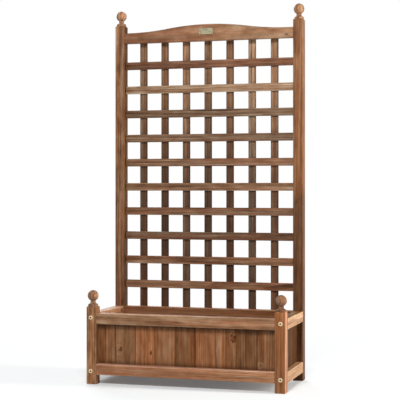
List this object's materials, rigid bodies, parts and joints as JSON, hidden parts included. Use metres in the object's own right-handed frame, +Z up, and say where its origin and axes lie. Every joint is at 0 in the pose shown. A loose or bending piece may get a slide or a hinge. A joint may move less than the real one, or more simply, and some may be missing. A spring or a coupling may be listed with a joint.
{
  "type": "planter with trellis",
  "caption": "Rectangular slatted wooden planter box on square posts, with a tall lath trellis and an arched top rail at the back, and turned ball finials.",
  "frame": {"origin": "on the ground, at the middle of the footprint", "axes": "+Z up, +X to the right seen from the front, +Y from the front of the box towards the trellis at the back"},
  "size_m": [0.6416, 0.29, 1.2073],
  "materials": {
    "fir_posts": "reddish-brown stained softwood, satin, upright grain",
    "fir_turned": "stained softwood, turned, slightly paler",
    "fir_rails": "reddish-brown stained softwood, satin, grain along the rail",
    "fir_laths": "reddish-brown stained softwood, sawn laths",
    "fir_boards": "reddish-brown stained softwood boards with knots",
    "fir_floor": "stained softwood, sawn",
    "brass_plate": "pale brass, brushed, bare",
    "brass_bolts": "brass plated, polished",
    "zinc_nuts": "zinc plated",
    "steel_nails": "bright steel"
  },
  "bodies": {
    "root": {"front_left_post": "fir_posts", "front_left_finial": "fir_turned", "rear_left_post": "fir_posts", "rear_left_finial": "fir_turned", "front_right_post": "fir_posts", "front_right_finial": "fir_turned", "rear_right_post": "fir_posts", "rear_right_finial": "fir_turned", "front_upper_rail": "fir_rails", "rear_upper_rail": "fir_rails", "left_upper_rail": "fir_rails", "right_upper_rail": "fir_rails", "front_lower_rail": "fir_rails", "rear_lower_rail": "fir_rails", "left_lower_rail": "fir_rails", "right_lower_rail": "fir_rails", "arched_top_rail": "fir_rails", "cross_lath_1": "fir_laths", "cross_lath_2": "fir_laths", "cross_lath_3": "fir_laths", "cross_lath_4": "fir_laths", "cross_lath_5": "fir_laths", "cross_lath_6": "fir_laths", "cross_lath_7": "fir_laths", "cross_lath_8": "fir_laths", "cross_lath_9": "fir_laths", "cross_lath_10": "fir_laths", "upright_lath_1": "fir_laths", "upright_lath_2": "fir_laths", "upright_lath_3": "fir_laths", "upright_lath_4": "fir_laths", "upright_lath_5": "fir_laths", "upright_lath_6": "fir_laths", "upright_lath_7": "fir_laths", "front_board_1": "fir_boards", "front_board_2": "fir_boards", "front_board_3": "fir_boards", "front_board_4": "fir_boards", "front_board_5": "fir_boards", "front_board_6": "fir_boards", "front_board_7": "fir_boards", "front_board_8": "fir_boards", "front_board_9": "fir_boards", "rear_boards": "fir_boards", "left_side_boards": "fir_boards", "right_side_boards": "fir_boards", "front_floor_batten": "fir_floor", "rear_floor_batten": "fir_floor", "floor_slats": "fir_floor", "badge_plate": "brass_plate", "badge_pins": "brass_plate", "connector_bolts": "brass_bolts", "barrel_nuts": "zinc_nuts", "batten_screws": "zinc_nuts", "panel_nails": "steel_nails", "trellis_nails": "steel_nails", "slat_nails": "steel_nails"}
  },
  "joints": []
}
